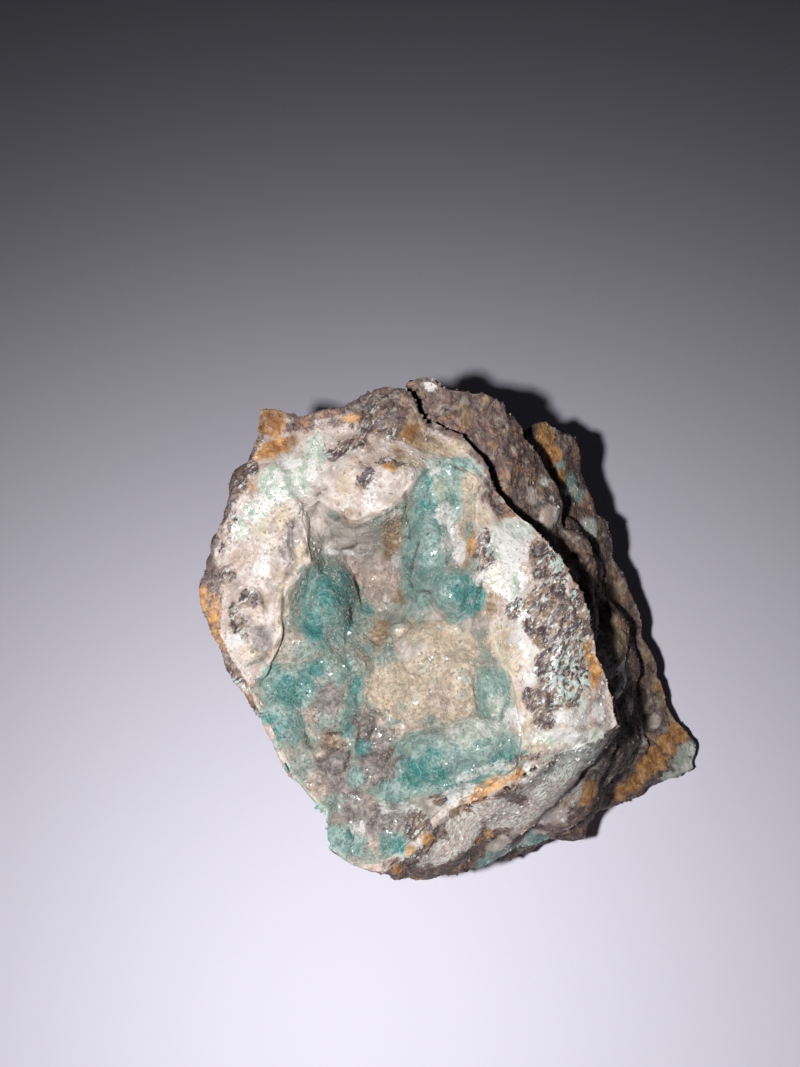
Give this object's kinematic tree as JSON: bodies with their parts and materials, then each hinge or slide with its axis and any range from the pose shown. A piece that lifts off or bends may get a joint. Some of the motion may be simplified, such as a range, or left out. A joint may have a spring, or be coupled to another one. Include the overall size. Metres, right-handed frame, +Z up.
{
  "type": "aurichalcite nodule",
  "caption": "Broken mineral nodule on a flat underside: a rock shell with stepped ledges whose tilted break opens into a hollow lined with a blue-green and tan druse crust.",
  "frame": {"origin": "bottom centre of the part's bounding box, on the surface it rests on", "axes": "+Z up, +X to the right along the longest side towards the low ledges, -Y towards the viewer that the break faces"},
  "size_m": [0.0602, 0.0542, 0.051],
  "materials": {
    "rock": "rough broken limonite and calcite, pale rim, dark crusts, orange stains",
    "druse": "sparkling translucent druse, blue-green, tan and white"
  },
  "bodies": {
    "root": {"matrix": "rock", "crystal_crust": "druse"}
  },
  "joints": []
}
